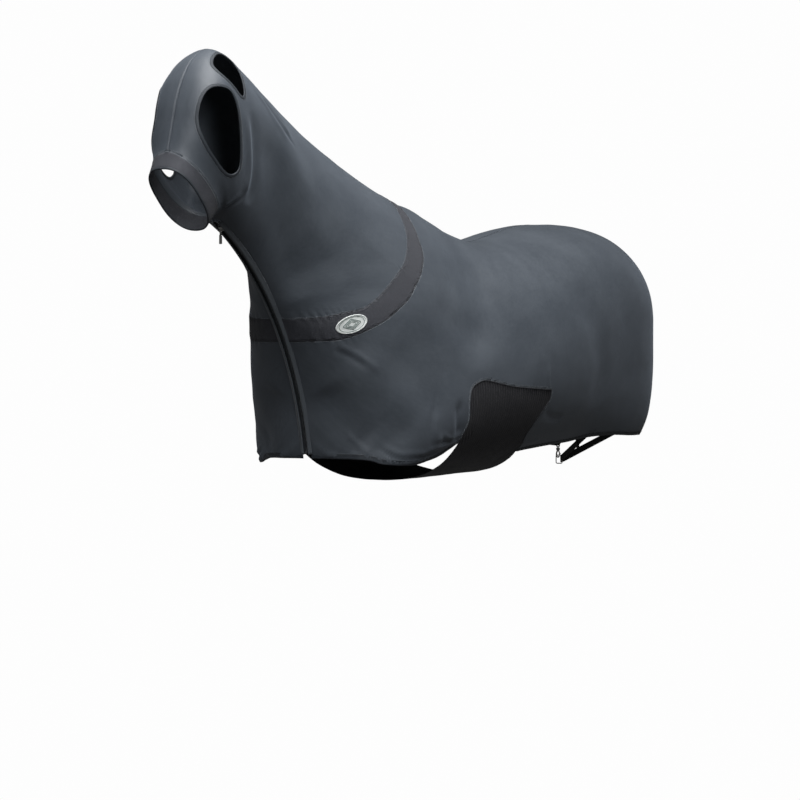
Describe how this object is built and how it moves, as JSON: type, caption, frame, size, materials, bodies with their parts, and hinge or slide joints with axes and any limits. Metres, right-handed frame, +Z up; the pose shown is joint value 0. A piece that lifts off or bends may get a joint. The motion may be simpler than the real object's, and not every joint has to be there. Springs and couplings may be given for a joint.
{
  "type": "horse hood and body suit",
  "caption": "Stretch hood, neck and body suit for a horse, open at the eyes, ears and muzzle, with a zipped chest, elastic girth and linked elastic leg straps.",
  "frame": {"origin": "inside of the cloth at the top of the withers, where the suit hangs from the animal's back", "axes": "+Z up, -X towards the head, -Y towards the animal's left side; Y = 0 is the suit's mirror plane"},
  "size_m": [2.3861, 0.6852, 1.1283],
  "materials": {
    "stretch_cloth": "satin four-way stretch knit, charcoal grey",
    "band_elastic": "fine ribbed elastic, dark grey",
    "girth_elastic": "ruched elastic cloth, near black",
    "binding": "folded stretch binding, dark grey",
    "webbing": "woven elastic webbing, black",
    "zip_tape": "woven zip tape, black",
    "zip_teeth": "moulded zip teeth, dark grey",
    "strap_slide": "moulded slide, black",
    "badge": "soft moulded badge with a pale rim",
    "swivel_brass": "worn brass plating",
    "nickel": "nickel plate, lightly worn"
  },
  "bodies": {
    "root": {"eye_binding_left": "binding", "eye_binding_right": "binding", "ear_binding_left": "binding", "ear_binding_right": "binding", "hood_neck_left": "stretch_cloth", "hood_neck_right": "stretch_cloth", "muzzle_band": "band_elastic", "shoulder_band_left": "band_elastic", "shoulder_band_right": "band_elastic", "body_panel_left": "stretch_cloth", "body_panel_right": "stretch_cloth", "girth_panel": "girth_elastic", "front_hem_left": "binding", "front_hem_right": "binding", "rear_hem_left": "binding", "rear_hem_right": "binding", "badge": "badge", "zip_tape_left": "zip_tape", "zip_tape_right": "zip_tape", "zip_teeth_left": "zip_teeth", "zip_teeth_right": "zip_teeth", "zip_lip_left": "stretch_cloth", "zip_lip_right": "stretch_cloth", "zip_top_stop": "zip_teeth", "zip_bottom_stop": "zip_teeth", "strap_tab_front_left": "webbing", "strap_tab_front_right": "webbing", "strap_tab_rear_left": "webbing", "strap_tab_rear_right": "webbing", "leg_strap_left": "webbing", "leg_strap_right": "webbing", "snap_swivel_frame": "swivel_brass"},
    "zip_slider": {"zip_slider": "nickel"},
    "zip_pull": {"zip_pull": "nickel"},
    "snap_hook": {"snap_hook": "nickel"},
    "snap_gate": {"snap_gate": "nickel"},
    "link_ring": {"link_ring": "nickel"},
    "strap_slide_left": {"strap_slide_left": "strap_slide"},
    "strap_slide_right": {"strap_slide_right": "strap_slide"}
  },
  "joints": [
    {"name": "zip_travel", "type": "hinge", "parent": "root", "child": "zip_slider", "pos_m": [-1.234, 0, -0.831], "axis": [0, 1, 0], "range_deg": [0, 49]},
    {"name": "zip_pull_swing", "type": "hinge", "parent": "zip_slider", "child": "zip_pull", "pos_m": [-0.81109, 0, -0.1159], "axis": [0, 1, 0], "range_deg": [-56, 110]},
    {"name": "snap_swivel", "type": "hinge", "parent": "root", "child": "snap_hook", "pos_m": [1.045, 0.003, -0.716], "axis": [0, 0, 1], "range_deg": [-8, 8]},
    {"name": "snap_gate_hinge", "type": "hinge", "parent": "snap_hook", "child": "snap_gate", "pos_m": [1.05143, 0.003, -0.72534], "axis": [0, 1, 0], "range_deg": [0, 20], "stiffness_Nm_per_rad": 0.02, "springref_deg": -5.73},
    {"name": "link_ring_tilt", "type": "hinge", "parent": "root", "child": "link_ring", "pos_m": [1.0435, -0.008, -0.749], "axis": [1, 0, 0], "range_deg": [-4, 4]},
    {"name": "strap_adjust_left", "type": "slide", "parent": "root", "child": "strap_slide_left", "axis": [0.7122, 0.6516, -0.2611], "range_m": [-0.08, 0.14]},
    {"name": "strap_adjust_right", "type": "slide", "parent": "root", "child": "strap_slide_right", "axis": [0.726, -0.6799, -0.1033], "range_m": [-0.08, 0.14]}
  ]
}
